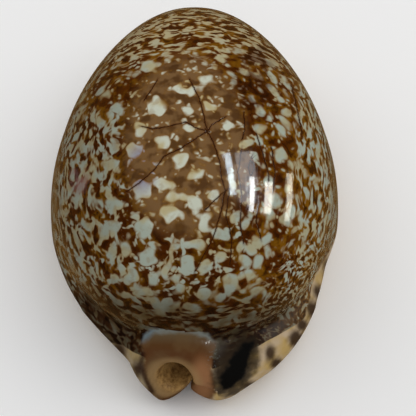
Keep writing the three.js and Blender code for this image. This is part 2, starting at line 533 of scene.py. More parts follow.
@dataclass(frozen=True)
class Mesher:
    """Turns a field of distances into a smooth closed mesh, finer where the shape is finer."""

    across: float = 0.44
    along: float = 0.46
    along_fine: float = 0.36
    low: float = 0.36
    high: float = 0.62
    sides: Span = (-26.0, 26.0)
    ends: Span = (-37.0, 38.0)
    heights: Span = (-1.1, 37.0)
    fine_end: float = -20.0
    low_end: float = 10.0
    rounds: int = 3
    longest_move: float = 0.3
    least_slope: float = 1e-6

    def steps(self, stops: Sequence[tuple[float, float]], end: float) -> Array:
        """Grid positions with a spacing that changes from stretch to stretch.

        Args:
            stops: The start of each stretch and the spacing in it.
            end: Where the last stretch ends.

        Returns:
            The positions.
        """
        starts = [start for start, _ in stops] + [end]
        runs = [np.arange(a, b, step) for (a, step), b in zip(stops, starts[1:])]
        return np.concatenate(runs)

    def grid(self) -> Points:
        """Lays out the grid.

        Returns:
            Its positions across, along and up.
        """
        xs = self.steps([(self.sides[0], self.across)], self.sides[1])
        ys = self.steps([(self.ends[0], self.along_fine), (self.fine_end, self.along)], self.ends[1])
        zs = self.steps([(self.heights[0], self.low), (self.low_end, self.high)], self.heights[1])
        return xs, ys, zs

    def build(self, shape: Field) -> tuple[Array, Array, Array]:
        """Meshes the surface on which the field is 0.

        Args:
            shape: The field.

        Returns:
            Vertices in millimetres, quads, and the outward normal at each vertex.
        """
        grid = self.grid()
        values = shape(*np.meshgrid(*grid, indexing="ij"))
        vertices, index = self.cells(values, grid)
        quads = self.quads(values, index)
        vertices, normals = self.settle(shape, vertices)
        return vertices, quads, normals

    def cells(self, values: Array, grid: Points) -> tuple[Array, Array]:
        """One vertex in each grid cell that the surface passes through.

        Args:
            values: The field at the grid's points.
            grid: The grid's positions.

        Returns:
            The vertices, and each cell's vertex number, or -1.
        """
        inside = values < 0
        shape = tuple(n - 1 for n in values.shape)
        corners = [(i, j, k) for i in (0, 1) for j in (0, 1) for k in (0, 1)]
        count = np.zeros(shape, np.int16)
        for i, j, k in corners:
            count += inside[i : shape[0] + i, j : shape[1] + j, k : shape[2] + k]
        crossed = (count > 0) & (count < 8)
        places = np.argwhere(crossed)
        index = np.full(shape, -1, np.int64)
        index[crossed] = np.arange(len(places))
        total = np.zeros((len(places), 3))
        hits = np.zeros(len(places))
        for corner in corners:
            for axis in range(3):
                if corner[axis]:
                    continue
                low = places + corner
                high = low.copy()
                high[:, axis] += 1
                a, b = values[tuple(low.T)], values[tuple(high.T)]
                hit = (a < 0) != (b < 0)
                share = np.where(hit, a / np.where(hit, a - b, 1), 0)
                p = np.stack([grid[q][low[:, q]] for q in range(3)], axis=1)
                p[:, axis] += share * (grid[axis][high[:, axis]] - grid[axis][low[:, axis]])
                total[hit] += p[hit]
                hits[hit] += 1
        return total / hits[:, None], index

    def quads(self, values: Array, index: Array) -> Array:
        """One quad across each grid edge that the surface crosses, facing outwards.

        Args:
            values: The field at the grid's points.
            index: Each cell's vertex number.

        Returns:
            The quads' vertex numbers.
        """
        inside = values < 0
        found = []
        for axis in range(3):
            first = tuple(slice(0, -1) if q == axis else slice(None) for q in range(3))
            second = tuple(slice(1, None) if q == axis else slice(None) for q in range(3))
            edges = np.argwhere(inside[first] != inside[second])
            one, two = [q for q in range(3) if q != axis]
            kept = (edges[:, one] > 0) & (edges[:, two] > 0)
            edges = edges[kept]
            ring = []
            for back_one, back_two in ((1, 1), (0, 1), (0, 0), (1, 0)):
                cell = edges.copy()
                cell[:, one] -= back_one
                cell[:, two] -= back_two
                ring.append(index[tuple(cell.T)])
            quads = np.stack(ring, axis=1)
            turned = inside[tuple(edges.T)] ^ (axis == 1)
            quads[~turned] = quads[~turned][:, ::-1]
            found.append(quads)
        return np.concatenate(found)

    def slopes(self, shape: Field, vertices: Array) -> Array:
        """The field's gradient at each vertex.

        Args:
            shape: The field.
            vertices: The vertices, in millimetres.

        Returns:
            One gradient for each vertex.
        """
        reach = 0.01
        columns = []
        for axis in range(3):
            shift = np.zeros(3)
            shift[axis] = reach
            columns.append((shape(*(vertices + shift).T) - shape(*(vertices - shift).T)) / (2 * reach))
        return np.stack(columns, axis=1)

    def settle(self, shape: Field, vertices: Array) -> tuple[Array, Array]:
        """Moves the vertices onto the surface.

        Args:
            shape: The field.
            vertices: The vertices, near the surface.

        Returns:
            The vertices on the surface, and their outward normals.
        """
        for _ in range(self.rounds):
            slope = self.slopes(shape, vertices)
            steep = np.maximum((slope**2).sum(axis=1), self.least_slope)
            step = np.clip(shape(*vertices.T) / steep, -self.longest_move, self.longest_move)
            vertices = vertices - step[:, None] * slope
        slope = self.slopes(shape, vertices)
        return vertices, slope / np.maximum(np.linalg.norm(slope, axis=1), TINY)[:, None]


@dataclass(frozen=True)
class DrawingView:
    """The direction from which the shell's marks are drawn on, and the camera's own place."""

    elevation: float = 60.0
    away_mm: float = 300.0
    aim: Triple = (0.0, 0.0, 14.0)
    scale: float = 6.06
    side: float = 416.0
    shift: Pixel = (0.0325, -0.0655)

    def back(self) -> Array:
        """The direction from the shell to the camera."""
        e = math.radians(self.elevation)
        return np.array([0.0, -math.cos(e), math.sin(e)])

    def place(self, x: Array, y: Array, z: Array) -> tuple[Array, Array]:
        """Where points of the shell appear, in pixels of a picture 416 pixels square.

        Args:
            x: Positions across.
            y: Positions along.
            z: Heights.

        Returns:
            Pixels from the left, and from the top.
        """
        e = math.radians(self.elevation)
        dx, dy, dz = x - self.aim[0], y - self.aim[1], z - self.aim[2]
        deep = self.away_mm + dy * math.cos(e) - dz * math.sin(e)
        focal = self.scale * self.away_mm
        u = self.side * (0.5 - self.shift[0]) + focal * dx / deep
        v = self.side * (0.5 + self.shift[1]) - focal * (dy * math.sin(e) + dz * math.cos(e)) / deep
        return u, v


@dataclass(frozen=True)
class Patch:
    """A soft round patch of the drawing view, by its middle and half sizes in pixels."""

    middle: Pixel
    size: Pixel
    fade: Span = (1.2, 0.4)

    def on(self, u: Array, v: Array) -> Array:
        """How strong the patch is.

        Args:
            u: Pixels from the left.
            v: Pixels from the top.

        Returns:
            1 in the middle, falling to 0 at the edge.
        """
        across = (u - self.middle[0]) / self.size[0]
        down = (v - self.middle[1]) / self.size[1]
        return ease(*self.fade, np.hypot(across, down))


@dataclass(frozen=True)
class Zones:
    """Where each kind of colouring lies on the back and the edge, by pixels of the drawing view.

    A span holds the pixel at which a zone starts to fade in and the one at which it is whole.
    """

    veil_patch: Patch = Patch((186, 148), (62, 92), (1.12, 0.82))
    veil_down: Span = (250, 222)
    veil_tail: float = 200
    veil_tail_across: Span = (30, 8)
    veil_tail_down: Span = (285, 255)
    placed_patch: Patch = Patch((182, 180), (78, 122), (1.05, 0.93))
    placed_across: Span = (108, 128)
    right_across: Span = (284, 308)
    right_down: Span = (60, 100)
    left_across: Span = (150, 115)
    left_down: Span = (90, 130)
    low_across: Span = (285, 255)
    low_down: Span = (270, 300)
    mesh_across: Span = (250, 290)
    mesh_down: Span = (225, 265)
    mesh_lean: float = 0.35
    mesh_level: float = 290
    # Painted shade: where the back is darkened towards the posterior end, towards the left and at the
    # dome's foot above the blotch.
    painted_shade_across: Span = (330, 270)
    painted_shade_down: Span = (270, 320)
    painted_shade_left: Span = (160, 80)
    painted_shade_left_strength: float = 0.45
    painted_shade_strength: float = 0.9
    painted_shadow_patch: Patch = Patch((228, 343), (26, 16))
    lavender: Patch = Patch((142, 168), (18, 30))
    smudge: Patch = Patch((254, 78), (26, 46))
    blush: Patch = Patch((79, 180), (12, 16))
    blush_strength: float = 0.6
    foot_reach_mm: float = 6.0
    foot_fade: Span = (4, -4)
    left_foot: Pixel = (122, 345)
    left_foot_slope: float = 0.5
    left_foot_across: Span = (165, 150)
    right_foot: Pixel = (250, 350)
    right_foot_slope: float = 0.55
    right_foot_start: Span = (208, 214)
    right_foot_end: Span = (318, 292)

    def veil(self, u: Array, v: Array) -> Array:
        """The milky brown area in the middle of the back, with its tail.

        Args:
            u: Pixels from the left.
            v: Pixels from the top.

        Returns:
            1 in the area, 0 outside it.
        """
        tail = ease(*self.veil_tail_across, np.abs(u - self.veil_tail)) * ease(*self.veil_tail_down, v)
        return self.veil_patch.on(u, v) * np.clip(ease(*self.veil_down, v) + tail, 0, 1)

    def mesh(self, u: Array, v: Array) -> Array:
        """The fine mesh at the lower right.

        Args:
            u: Pixels from the left.
            v: Pixels from the top.

        Returns:
            1 in the mesh, 0 outside it.
        """
        across = u + self.mesh_lean * (v - self.mesh_level)
        return ease(*self.mesh_across, across) * ease(*self.mesh_down, v)

    def painted_shade(self, u: Array, v: Array) -> Array:
        """Painted shade: the darkening towards the posterior end, at the dome's foot above the blotch, and
        towards the left.

        Args:
            u: Pixels from the left.
            v: Pixels from the top.

        Returns:
            1 where it is strongest, 0 where there is none.
        """
        low = self.painted_shade_strength * ease(*self.painted_shade_down, v) * ease(*self.painted_shade_across, u)
        low = low + self.painted_shade_strength * self.painted_shadow_patch.on(u, v)
        return np.clip(low + self.painted_shade_left_strength * ease(*self.painted_shade_left, u), 0, 1)

    def feet(self, u: Array, v: Array) -> Array:
        """How far the net runs down over the cream edge on both sides of the arch.

        Args:
            u: Pixels from the left.
            v: Pixels from the top.

        Returns:
            The distances by which it does, in millimetres.
        """
        left = v - self.left_foot[1] - self.left_foot_slope * np.maximum(u - self.left_foot[0], 0)
        left = ease(*self.foot_fade, left) * ease(*self.left_foot_across, u)
        right = v - self.right_foot[1] + self.right_foot_slope * (u - self.right_foot[0])
        right = ease(*self.foot_fade, right) * ease(*self.right_foot_start, u)
        return self.foot_reach_mm * (left + right * ease(*self.right_foot_end, u))


@dataclass(frozen=True)
class PosteriorZones:
    """Where the colouring of the posterior end lies, in pixels of the drawing view and millimetres."""

    arch_end_mm: float = -22.0
    arch_top_mm: float = 16.0
    arch_first_row: float = 328
    arch_rows: float = 40
    arch_left: Span = (162, 148)
    right_leg: Patch = Patch((202, 380), (14, 26))
    left_lobe: Patch = Patch((154, 380), (12, 26))
    # Painted shadow: how wide the dark line in the crease beside the left lobe is.
    lobe_shadow_mm: Span = (0.7, 0.1)
    beside: Patch = Patch((221, 360), (13, 28))
    beside_from_mm: Span = (-0.2, 0.8)
    sparkle: Patch = Patch((213, 357), (7, 16))
    blotch_first_row: float = 300
    # Where the painted highlight of the lit rim round the canal mouth lies.
    rim_highlight_mm: Span = (2.4, 0.9)
    rim_highlight_end_mm: Span = (-26, -29)
    mouth_mm: Span = (1.2, 0.2)
    mouth_depth_mm: Span = (0.1, 0.8)
    mouth_end_mm: Span = (-20, -24)


@dataclass(frozen=True)
class Marks:
    """The marks that belong to this one shell, placed by pixels of the 416 pixel drawing view."""

    view: DrawingView = DrawingView()
    veil_spots: tuple[Oval, ...] = (
        (156, 106, 10, 10), (185, 110, 8, 4.5), (210, 107, 7, 6), (206, 78, 10, 6), (202, 65, 8, 4),
        (139, 130, 8, 7), (162, 143, 8, 8), (181, 159, 8.5, 8), (164, 184, 9, 8), (196, 176, 9, 6),
        (176, 197, 10, 6.5), (195, 205, 6.5, 9), (171, 215, 10.5, 8), (214, 195, 7, 8), (145, 227, 9, 10),
        (204, 221, 8, 10), (221, 235, 7, 8), (235, 216, 6, 6), (116, 204, 9, 7), (110, 166, 10, 8),
        (141, 191, 11, 9), (186, 264, 8, 8), (188, 245, 17, 6), (147, 258, 10, 10), (221, 259, 7, 7),
        (205, 267, 7, 7), (246, 261, 7, 6), (257, 244, 6, 6), (242, 245, 5, 6), (205, 292, 8, 7),
        (229, 126, 6, 5), (246, 144, 6, 5), (186, 90, 15, 4.5), (190, 129, 10, 4), (150, 67, 11, 6),
        (120, 109, 9, 5), (199, 159, 8, 2.5), (112, 228, 9, 7), (232, 183, 5, 9), (135, 150, 9, 8),
        (171, 260, 2.5, 9), (156, 280, 5, 10), (165, 273, 2.5, 7), (175, 278, 6, 6), (180, 290, 7, 6),
        (231, 285, 8, 11), (168, 302, 8, 4), (190, 306, 6, 5), (132, 275, 8, 9), (125, 246, 6, 9),
        (112, 252, 6, 8), (215, 302, 8, 3), (144, 292, 8, 4), (246, 226, 4, 6), (252, 276, 8, 5),
    )
    margin_spots: tuple[Oval, ...] = (
        (312, 309, 5, 8), (302, 325, 5, 5), (296, 339, 7, 8), (270, 353, 4, 7), (276, 363, 5, 5),
        (250, 386, 6, 4), (119, 351, 6, 8), (138, 369, 4, 7), (318, 292, 4, 6), (327, 268, 3, 7),
    )
    callus: tuple[Pixel, ...] = (
        (140, 345), (144, 334), (152, 329), (172, 327), (192, 328), (208, 333), (217, 343), (213, 355),
        (212, 370), (217, 386), (212, 400), (190, 402), (160, 402), (148, 392), (143, 374), (144, 358),
    )
    blotch: tuple[Pixel, ...] = (
        (238, 346), (245, 340), (254, 340), (255, 353), (251, 366), (244, 379), (234, 390), (221, 392),
        (217, 383), (222, 371), (230, 358),
    )
    # The line of the painted shadow in the crease beside the left lobe.
    lobe_shadow: tuple[Pixel, ...] = ((143, 354), (141, 364), (145, 378), (152, 391))
    cracks: tuple[tuple[Pixel, ...], ...] = (
        ((207, 131), (204, 117), (199, 98), (191, 82)),
        ((207, 131), (196, 138), (183, 147), (164, 156), (154, 170), (141, 182), (127, 191)),
        ((207, 131), (196, 128), (186, 122), (170, 126), (152, 129), (144, 127)),
        ((207, 131), (212, 125), (223, 118)),
        ((207, 131), (212, 139), (219, 159), (221, 175), (225, 191), (221, 212), (213, 238), (196, 270)),
        ((225, 191), (216, 199), (207, 208)),
        ((244, 115), (245, 128), (243, 137)),
        ((257, 136), (262, 152), (266, 165), (269, 176), (268, 187)),
        ((156, 82), (151, 90), (146, 98)),
        ((292, 88), (297, 108), (302, 134)),
        ((251, 158), (248, 167), (251, 176), (255, 167), (251, 158)),
        ((229, 191), (226, 215), (232, 240), (230, 262)),
        ((241, 152), (238, 172), (242, 196), (240, 222), (243, 240)),
        ((258, 206), (256, 220), (260, 236)),
        ((272, 150), (275, 172), (273, 190)),
    )

    def ovals(self, u: Array, v: Array, spots: Sequence[Oval]) -> Array:
        """Distances to the nearest of some ovals.

        Args:
            u: Pixels from the left.
            v: Pixels from the top.
            spots: Each oval's centre and half sizes, in pixels.

        Returns:
            Distances in millimetres, negative inside an oval.
        """
        best = np.full(u.shape, NOWHERE)
        for cx, cy, a, b in spots:
            reach = np.hypot((u - cx) / a, (v - cy) / b)
            best = np.minimum(best, (reach - 1) * min(a, b) / self.view.scale)
        return best

    def area(self, u: Array, v: Array, outline: Sequence[Pixel]) -> Array:
        """Signed distances to the edge of an area.

        Args:
            u: Pixels from the left.
            v: Pixels from the top.
            outline: The area's corners, in pixels.

        Returns:
            Distances in millimetres, negative inside.
        """
        away = np.full(u.shape, np.inf)
        inside = np.zeros(u.shape, bool)
        for (ax, ay), (bx, by) in zip(outline, (*outline[1:], outline[0])):
            dx, dy = bx - ax, by - ay
            t = np.clip(((u - ax) * dx + (v - ay) * dy) / (dx * dx + dy * dy), 0, 1)
            away = np.minimum(away, np.hypot(u - ax - t * dx, v - ay - t * dy))
            if dy:
                inside ^= ((v < ay) != (v < by)) & (u < ax + (v - ay) * dx / dy)
        return np.where(inside, -away, away) / self.view.scale

    def line(self, u: Array, v: Array, points: Sequence[Pixel]) -> tuple[Array, Array]:
        """Distances to a broken line.

        Args:
            u: Pixels from the left.
            v: Pixels from the top.
            points: The line's corners, in pixels.

        Returns:
            Distances across the line in millimetres, positive on its right, and plain distances, in
            which its ends count.
        """
        best = np.full(u.shape, np.inf)
        signed = np.full(u.shape, NOWHERE)
        for (ax, ay), (bx, by) in zip(points[:-1], points[1:]):
            dx, dy = bx - ax, by - ay
            size = math.hypot(dx, dy)
            t = np.clip(((u - ax) * dx + (v - ay) * dy) / size**2, 0, 1)
            away = np.hypot(u - ax - t * dx, v - ay - t * dy)
            across = ((v - ay) * dx - (u - ax) * dy) / size
            closer = away < best
            best = np.where(closer, away, best)
            signed = np.where(closer, across, signed)
        return signed / self.view.scale, best / self.view.scale


class Value:
    """A socket of a material, with Python's operators standing for Math nodes."""

    def __init__(self, graph: "Graph", socket: bpy.types.NodeSocket) -> None:
        """Wraps one output socket of a material's nodes."""
        self.graph = graph
        self.socket = socket

    def __add__(self, other: "Number") -> "Value":
        """The sum."""
        return self.graph.maths("ADD", self, other)

    def __radd__(self, other: "Number") -> "Value":
        """The sum, with a plain number first."""
        return self.graph.maths("ADD", other, self)

    def __sub__(self, other: "Number") -> "Value":
        """The difference."""
        return self.graph.maths("SUBTRACT", self, other)

    def __rsub__(self, other: "Number") -> "Value":
        """The difference, with a plain number first."""
        return self.graph.maths("SUBTRACT", other, self)

    def __mul__(self, other: "Number") -> "Value":
        """The product."""
        return self.graph.maths("MULTIPLY", self, other)

    def __rmul__(self, other: "Number") -> "Value":
        """The product, with a plain number first."""
        return self.graph.maths("MULTIPLY", other, self)

    def __abs__(self) -> "Value":
        """The value without its sign."""
        return self.graph.maths("ABSOLUTE", self)

    def most(self, other: "Number") -> "Value":
        """The higher of two values."""
        return self.graph.maths("MAXIMUM", self, other)

    def ease(self, low: float, high: float) -> "Value":
        """Rises smoothly from 0 at low to 1 at high.

        Args:
            low: The value that gives 0.
            high: The value that gives 1, which may be the lower of the two.

        Returns:
            The eased value.
        """
        if low > high:
            return 1.0 - self.ease(high, low)
        inputs = {0: self, 1: low, 2: high}
        return self.graph.node("ShaderNodeMapRange", {"interpolation_type": "SMOOTHSTEP"}, inputs)


Number = Union[Value, float, int]
Colour = Union[Value, Triple]


class Mixing(Enum):
    """The ways of putting one colour over another."""

    OVER = "MIX"
    DARKEN = "MULTIPLY"


class Graph:
    """The nodes of one material."""

    def __init__(self, name: str) -> None:
        """Makes an empty material.

        Args:
            name: The material's name.
        """
        self.material = bpy.data.materials.new(name)
        self.material.use_nodes = True
        self.tree = self.material.node_tree
        self.tree.nodes.clear()

    def node(self, kind: str, settings: dict[str, Any], inputs: dict[Any, Any], output: Any = 0) -> Value:
        """Adds any node.

        Args:
            kind: The node's type.
            settings: Its settings, which are made first.
            inputs: Values or links for its sockets, by name or number.
            output: The name or number of the socket that is wanted.

        Returns:
            That socket.
        """
        made = self.tree.nodes.new(kind)
        for name, setting in settings.items():
            if name == "stops":
                self.stops(made, setting)
            else:
                setattr(made, name, setting)
        for name, given in inputs.items():
            socket = made.inputs[name]
            if isinstance(given, Value):
                self.tree.links.new(given.socket, socket)
            elif isinstance(given, tuple) and len(given) == 3 and socket.type == "RGBA":
                socket.default_value = (*given, 1.0)
            else:
                socket.default_value = given
        return Value(self, made.outputs[output])

    def stops(self, made: bpy.types.Node, stops: Sequence[tuple[float, Triple]]) -> None:
        """Sets the stops of a colour ramp.

        Args:
            made: The ramp's node.
            stops: Each stop's place and colour.
        """
        ramp = made.color_ramp
        while len(ramp.elements) < len(stops):
            ramp.elements.new(1.0)
        for element, (place, colour) in zip(ramp.elements, stops):
            element.position = place
            element.color = (*colour, 1.0)

    def maths(self, operation: str, a: Number, b: Number = 0.0) -> Value:
        """One Math node."""
        return self.node("ShaderNodeMath", {"operation": operation}, {0: a, 1: b})

    def attribute(self, name: str) -> Value:
        """A value that the mesh carries at each vertex."""
        return self.node("ShaderNodeAttribute", {"attribute_name": name}, {}, "Fac")

    def mix(self, share: Number, a: Colour, b: Colour, how: Mixing = Mixing.OVER) -> Value:
        """Mixes two colours.

        Args:
            share: How much of the second colour, from 0 to 1.
            a: The first colour.
            b: The second colour.
            how: The way of mixing.

        Returns:
            The mixed colour.
        """
        settings = {"data_type": "RGBA", "blend_type": how.value, "clamp_factor": True}
        return self.node("ShaderNodeMix", settings, {0: share, 6: a, 7: b}, 2)

    def between(self, share: Value, a: Number, b: Number) -> Value:
        """A value part of the way from a to b."""
        return a * (1.0 - share) + b * share

    def ramp(self, value: Value, stops: Sequence[tuple[float, Triple]]) -> Value:
        """A colour read from a ramp."""
        return self.node("ShaderNodeValToRGB", {"stops": stops}, {0: value})

    def stretch(self, place: Value, scale: Triple) -> Value:
        """A place multiplied by a scale for each axis."""
        return self.node("ShaderNodeVectorMath", {"operation": "MULTIPLY"}, {0: place, 1: scale})

    def shake(self, place: Value, size: float, amount: float) -> Value:
        """Moves a place about by soft noise, so that what is drawn there has wavering edges.

        Args:
            place: The place, in millimetres.
            size: The size of the wavers, in millimetres.
            amount: How far they move it, in millimetres.

        Returns:
            The moved place.
        """
        settings = {"noise_dimensions": "3D"}
        inputs = {"Vector": place, "Scale": 1 / size, "Detail": 0.0}
        noise = self.node("ShaderNodeTexNoise", settings, inputs, "Color")
        inputs = {0: noise, 1: (0.5, 0.5, 0.5)}
        centred = self.node("ShaderNodeVectorMath", {"operation": "SUBTRACT"}, inputs)
        inputs = {0: centred, 1: (2 * amount, 2 * amount, 2 * amount), 2: place}
        return self.node("ShaderNodeVectorMath", {"operation": "MULTIPLY_ADD"}, inputs)

    def noise(self, place: Value, size: float, detail: float = 2.0, rough: float = 0.5) -> Value:
        """Soft noise from 0 to 1.

        Args:
            place: The place, in millimetres.
            size: The size of its lumps, in millimetres.
            detail: How many finer layers it has.
            rough: How strong those are.

        Returns:
            The noise.
        """
        inputs = {"Vector": place, "Scale": 1 / size, "Detail": detail, "Roughness": rough}
        return self.node("ShaderNodeTexNoise", {}, inputs, "Fac")

    def clouds(
        self, place: Value, size: float, span: Span, detail: float = 2.0, rough: float = 0.5
    ) -> Value:
        """Soft noise drawn out into clouds.

        Args:
            place: The place, in millimetres.
            size: The size of its lumps, in millimetres.
            span: The noise at which a cloud starts, and at which it is whole.
            detail: How many finer layers it has.
            rough: How strong those are.

        Returns:
            1 in a cloud, 0 between them.
        """
        return self.noise(place, size, detail, rough).ease(*span)

    def waver(
        self, place: Value, size: float, amount: float, detail: float = 3.0, rough: float = 0.5
    ) -> Value:
        """Soft noise about 0, which makes the edge that it is added to waver.

        Args:
            place: The place, in millimetres.
            size: The size of the wavers, in millimetres.
            amount: How strong they are, from end to end.
            detail: How many finer layers they have.
            rough: How strong those are.

        Returns:
            The noise.
        """
        return amount * (self.noise(place, size, detail, rough) - 0.5)

    def cells(self, place: Value, size: float, evenness: float = 0.0) -> Value:
        """Distances from the nearest of many scattered points.

        Args:
            place: The place, in millimetres.
            size: How far apart the points are, in millimetres.
            evenness: How regularly they lie, from 0 to 1.

        Returns:
            The distance, with that size as 1.
        """
        inputs = {"Vector": place, "Scale": 1 / size, "Randomness": 1.0 - evenness}
        return self.node("ShaderNodeTexVoronoi", {"feature": "F1"}, inputs, "Distance")

    def finish(
        self, colour: Colour, gloss: "Gloss", rough: Number, coat: Number, height: Value, depth: float
    ) -> bpy.types.Material:
        """Ends the material with its shader.

        Args:
            colour: The surface's colour.
            gloss: Its constant shine.
            rough: Its roughness.
            coat: How much clear coat lies over it.
            height: The bump's height, in millimetres.
            depth: How strongly the bump counts.

        Returns:
            The finished material.
        """
        bump = self.node("ShaderNodeBump", {}, {"Strength": depth, "Distance": MM, "Height": height})
        inputs = {
            "Base Color": colour,
            "Roughness": rough,
            "Normal": bump,
            "IOR": gloss.ior,
            "Coat Weight": coat,
            "Coat Roughness": gloss.coat_roughness,
        }
        shader = self.node("ShaderNodeBsdfPrincipled", {}, inputs)
        self.output(shader)
        return self.material

    def output(self, shader: Value) -> None:
        """Links a shader to the material's output."""
        made = self.tree.nodes.new("ShaderNodeOutputMaterial")
        self.tree.links.new(shader.socket, made.inputs["Surface"])


@dataclass(frozen=True)
class Gloss:
    """The constant shine of a surface."""

    ior: float = 1.5
    coat_roughness: float = 0.05


def colour_of(code: str) -> Triple:
    """Turns a colour written as six hex digits into linear red, green and blue.

    Args:
        code: The six digits.

    Returns:
        The three linear values.
    """
    parts = [int(code[i : i + 2], 16) / 255 for i in (0, 2, 4)]
    linear = [c / 12.92 if c <= 0.04045 else ((c + 0.055) / 1.055) ** 2.4 for c in parts]
    return (linear[0], linear[1], linear[2])


@dataclass(frozen=True)
class Dashes:
    """Winding dark dashes over a pale ground, by their size and how much of it they cover."""

    size: float
    level: float
    stretch: Triple = (1.0, 1.0, 1.0)
    steepness: float = 1.6

    def paleness(self, g: Graph, place: Value) -> Value:
        """How far inside the pale ground a place is.

        Args:
            g: The material's nodes.
            place: The place, in millimetres.

        Returns:
            The paleness, negative in a dash.
        """
        return self.steepness * (g.noise(g.stretch(place, self.stretch), self.size, 1.0) - self.level)


@dataclass(frozen=True)
class Islands:
    """Round pale islands, some of them run together, with small ones between."""

    size: float = 2.7
    reach: float = 0.43
    evenness: float = 0.3
    raggedness: float = 0.36
    ragged_size: float = 1.62
    small_size: float = 1.215
    small_reach: float = 0.30
    small_weight: float = 0.6

    def paleness(self, g: Graph, place: Value) -> Value:
        """How far inside an island a place is.

        Args:
            g: The material's nodes.
            place: The place, in millimetres.

        Returns:
            The paleness, negative in the net between the islands.
        """
        large = self.reach - g.cells(place, self.size, self.evenness)
        large = large + g.waver(place, self.ragged_size, self.raggedness, 1.0)
        small = self.small_weight * (self.small_reach - g.cells(place, self.small_size))
        return large.most(small)


@dataclass(frozen=True)
class Net:
    """The net of the back: how it divides the pale ground, all round the shell.

    The wavers are the size and the reach, in millimetres, of each shake given to the pattern.
    """

    wavers: tuple[tuple[float, float], ...] = ((3.4, 1.0), (1.1, 0.25))
    islands: Islands = Islands()
    left: Dashes = Dashes(0.98, 0.49, (1.0, 0.55, 0.9))
    low: Dashes = Dashes(1.2, 0.50, (0.5, 1.1, 1.0))
    far: Dashes = Dashes(1.05, 0.50, (0.6, 1.3, 1.0))
    side: Dashes = Dashes(0.85, 0.49, (1.2, 0.4, 0.8))
    mesh: Dashes = Dashes(0.8, 0.53)
    sparse: Dashes = Dashes(1.2, 0.58)
    speck_size: float = 1.4
    speck_reach: float = 0.27
    speck_weight: float = 0.6
    drawn_weight: float = 0.55

    def paleness(self, g: Graph, place: Value) -> Value:
        """How far inside the pale ground a place is.

        Args:
            g: The material's nodes.
            place: The place, in millimetres.

        Returns:
            The paleness, negative in the net.
        """
        soft = place
        for size, amount in self.wavers:
            soft = g.shake(soft, size, amount)
        pale = self.islands.paleness(g, soft)
        kinds = {"left": self.left, "low": self.low, "far": self.far, "side": self.side, "mesh": self.mesh}
        for name, dashes in kinds.items():
            pale = g.between(g.attribute(name), pale, dashes.paleness(g, soft))
        specks = self.speck_weight * (self.speck_reach - g.cells(g.shake(place, 1.0, 0.6), self.speck_size))
        pale = g.between(g.attribute("placed"), pale, self.sparse.paleness(g, soft).most(specks))
        wobble = g.noise(place, 1.5, 0.0) - 0.5
        drawn = self.drawn_weight * (-0.03 - 0.8 * g.attribute("veil_spots") + 1.5 * wobble)
        return g.between(g.attribute("veil"), pale, specks).most(drawn)


@dataclass(frozen=True)
class Wear:
    """Where the clear coat has gone, by distances in millimetres or shares that the mesh carries."""

    arch: Span = (2.2, -0.5)
    arch_share: float = 0.65
    blotch: Span = (3.6, 1.2)
    foot: Span = (2.5, -0.5)
    beside: Span = (0.0, 0.4)
    sparkle: Span = (0.0, 0.2)

    def dullness(self, g: Graph) -> Value:
        """How far the coat has gone, at the posterior end and along the cream edge.

        Args:
            g: The material's nodes.

        Returns:
            The dullness, from 0 to 1.
        """
        dull = self.arch_share * g.attribute("callus").ease(*self.arch)
        dull = dull.most(g.attribute("blotch").ease(*self.blotch))
        dull = dull.most(g.attribute("foot").ease(*self.foot))
        dull = dull.most(g.attribute("beside").ease(*self.beside))
        return dull.most(g.attribute("sparkle").ease(*self.sparkle))


@dataclass(frozen=True)
class Relief:
    """The shallow lengthwise streaks and ripples of the enamel, and its cracks, in millimetres."""

    streak_size: float = 0.9
    streak_stretch: Triple = (1.0, 0.10, 1.0)
    streak_height: float = 0.14
    ripple_size: float = 2.4
    ripple_stretch: Triple = (1.0, 0.4, 1.0)
    ripple_height: float = 0.35
    crack_depth: float = 0.12

    def height(self, g: Graph, place: Value, crack: Value) -> Value:
        """The height of the surface.

        Args:
            g: The material's nodes.
            place: The place, in millimetres.
            crack: How deep the cracks are there, from 0 to 1.

        Returns:
            The height, in millimetres.
        """
        streaks = g.noise(g.stretch(place, self.streak_stretch), self.streak_size, 1.0)
        ripples = g.noise(g.stretch(place, self.ripple_stretch), self.ripple_size, 1.0)
        return self.streak_height * streaks + self.ripple_height * ripples - self.crack_depth * crack


@dataclass(frozen=True)
class EdgeSizes:
    """The sizes of the golden rim, the cream edge and its spots, in millimetres, and their strengths."""

    golden_heights: Span = (21.0, 12.0)
    golden: float = 0.10
    golden_far: float = 0.28
    golden_low: float = 0.10
    wave_size: float = 6.0
    wave_reach: float = 4.0
    waver_size: float = 1.8
    waver_reach: float = 1.6
    fade: Span = (0.5, -0.5)
    loose_spot_pitch: float = 7.5
    loose_spot_evenness: float = 0.1
    loose_spot: Span = (0.30, 0.14)
    spot_waver_size: float = 1.5
    spot_waver_reach: float = 0.9
    spot_growth: float = 0.25
    spot_fade: Span = (0.5, -0.7)


@dataclass(frozen=True)
class CrackSizes:
    """The sizes of the cracks, in millimetres, and how far they darken the enamel."""

    waver_size: float = 0.8
    waver_reach: float = 0.5
    half_width: Span = (0.36, 0.04)
    stain: float = 0.6
    core: Span = (0.86, 1.0)
    core_strength: float = 0.9


